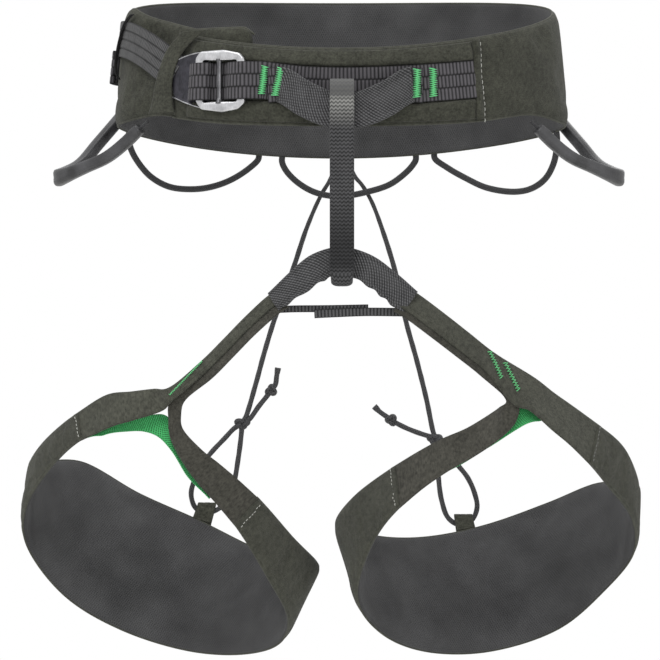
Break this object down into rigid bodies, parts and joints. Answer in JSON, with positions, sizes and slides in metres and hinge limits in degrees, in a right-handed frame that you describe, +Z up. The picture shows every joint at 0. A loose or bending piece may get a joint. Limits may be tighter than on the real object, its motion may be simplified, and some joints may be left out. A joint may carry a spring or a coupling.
{
  "type": "climbing sit harness",
  "caption": "Sport climbing sit harness: padded waist belt with a double-back buckle, belay loop, fixed padded leg loops, gear loops and elastic rear risers.",
  "frame": {"origin": "centre of the waist opening, half way between the belt's front and back, near the middle of its height at the hips", "axes": "+Z up along the wearer's spine, -Y out of the wearer's front, +X to the right as seen by someone standing in front of the wearer"},
  "size_m": [0.4344, 0.2571, 0.4676],
  "materials": {
    "olive_fabric": "matte",
    "lining_fabric": "matte",
    "padding": "matte",
    "webbing": "matte",
    "belay_webbing": "matte",
    "wear_cover": "matte",
    "elastic": "matte",
    "gear_cord": "matte",
    "moulded_sleeve": "satin",
    "green_mesh": "matte",
    "bright_aluminium": "satin",
    "anodised_aluminium": "satin"
  },
  "bodies": {
    "belt": {"belt_outer_shell": "olive_fabric", "belt_foam": "padding", "belt_lining": "lining_fabric", "right_panel_hem": "olive_fabric", "buckle_plate": "anodised_aluminium", "front_webbing": "webbing", "webbing_tail": "webbing", "tail_folded_end": "webbing", "tail_elastic_keeper": "elastic", "fabric_keeper": "olive_fabric", "tie_in_webbing": "webbing", "tie_in_wear_cover": "wear_cover", "riser_anchor_tab": "webbing", "riser_upper_left": "elastic", "riser_upper_right": "elastic"},
    "buckle": {"buckle_frame": "bright_aluminium"},
    "leg_harness": {"belay_loop": "belay_webbing", "bridge_webbing": "webbing", "bridge_wear_cover": "wear_cover", "cross_strap": "webbing", "cross_strap_return": "webbing", "riser_knot_left": "elastic", "riser_knot_right": "elastic", "riser_tail_left": "elastic", "riser_tail_right": "elastic", "riser_end_left": "elastic", "riser_end_right": "elastic", "riser_stopper_left": "elastic", "riser_stopper_right": "elastic"},
    "leg_loop_left": {"arm_left": "olive_fabric", "leg_outer_strap_left": "olive_fabric", "leg_inner_strap_left": "olive_fabric", "leg_shell_left": "olive_fabric", "leg_foam_left": "padding", "leg_lining_left": "lining_fabric", "leg_gusset_left": "green_mesh", "leg_riser_tab_left": "olive_fabric", "riser_loop_left": "elastic"},
    "leg_loop_right": {"arm_right": "olive_fabric", "leg_outer_strap_right": "olive_fabric", "leg_inner_strap_right": "olive_fabric", "leg_shell_right": "olive_fabric", "leg_foam_right": "padding", "leg_lining_right": "lining_fabric", "leg_gusset_right": "green_mesh", "leg_riser_tab_right": "olive_fabric", "riser_loop_right": "elastic"},
    "gear_front_left": {"gear_loop_front_left": "moulded_sleeve", "gear_loop_core_left": "gear_cord"},
    "gear_front_right": {"gear_loop_front_right": "moulded_sleeve", "gear_loop_core_right": "gear_cord"},
    "gear_rear_left": {"gear_loop_rear_left": "gear_cord"},
    "gear_rear_centre": {"gear_loop_rear_centre": "gear_cord"},
    "gear_rear_right": {"gear_loop_rear_right": "gear_cord"}
  },
  "joints": [
    {"name": "buckle_tilt", "type": "hinge", "parent": "belt", "child": "buckle", "pos_m": [-0.0936, -0.0908, -0.017], "axis": [0, 0, 1], "range_deg": [-14, 0], "deforming": ["front_webbing"]},
    {"name": "tie_in_swing", "type": "hinge", "parent": "belt", "child": "leg_harness", "pos_m": [0, -0.124, -0.038], "axis": [1, 0, 0], "range_deg": [-12, 12], "stiffness_Nm_per_rad": 2, "springref_deg": 5.21, "deforming": ["riser_upper_left", "riser_upper_right"]},
    {"name": "leg_loop_left_swing", "type": "hinge", "parent": "leg_harness", "child": "leg_loop_left", "pos_m": [-0.044, -0.124, -0.137], "axis": [1, 0, 0], "range_deg": [-14, 8], "stiffness_Nm_per_rad": 1, "springref_deg": 5.23, "deforming": ["arm_left", "riser_loop_left"]},
    {"name": "leg_loop_right_swing", "type": "hinge", "parent": "leg_harness", "child": "leg_loop_right", "pos_m": [0.047, -0.124, -0.137], "axis": [1, 0, 0], "range_deg": [-14, 8], "stiffness_Nm_per_rad": 1, "springref_deg": 5.13, "deforming": ["arm_right", "riser_loop_right"]},
    {"name": "gear_front_left_flex", "type": "hinge", "parent": "belt", "child": "gear_front_left", "pos_m": [-0.129, -0.06, -0.041], "axis": [-0.1746, 0.9722, 0.1563], "range_deg": [-8, 40], "stiffness_Nm_per_rad": 0.05, "springref_deg": 3.91},
    {"name": "gear_front_right_flex", "type": "hinge", "parent": "belt", "child": "gear_front_right", "pos_m": [0.129, -0.06, -0.041], "axis": [-0.1746, -0.9722, -0.1563], "range_deg": [-8, 40], "stiffness_Nm_per_rad": 0.05, "springref_deg": 3.91},
    {"name": "gear_rear_left_swing", "type": "hinge", "parent": "belt", "child": "gear_rear_left", "pos_m": [-0.148, 0.0335, -0.0465], "axis": [0.8025, 0.5886, -0.0981], "range_deg": [-20, 40]},
    {"name": "gear_rear_centre_swing", "type": "hinge", "parent": "belt", "child": "gear_rear_centre", "pos_m": [-0.041, 0.102, -0.0595], "axis": [1, 0, 0], "range_deg": [-45, 3]},
    {"name": "gear_rear_right_swing", "type": "hinge", "parent": "belt", "child": "gear_rear_right", "pos_m": [0.0695, 0.096, -0.0572], "axis": [0.7709, -0.6308, 0.0881], "range_deg": [-20, 40]}
  ]
}
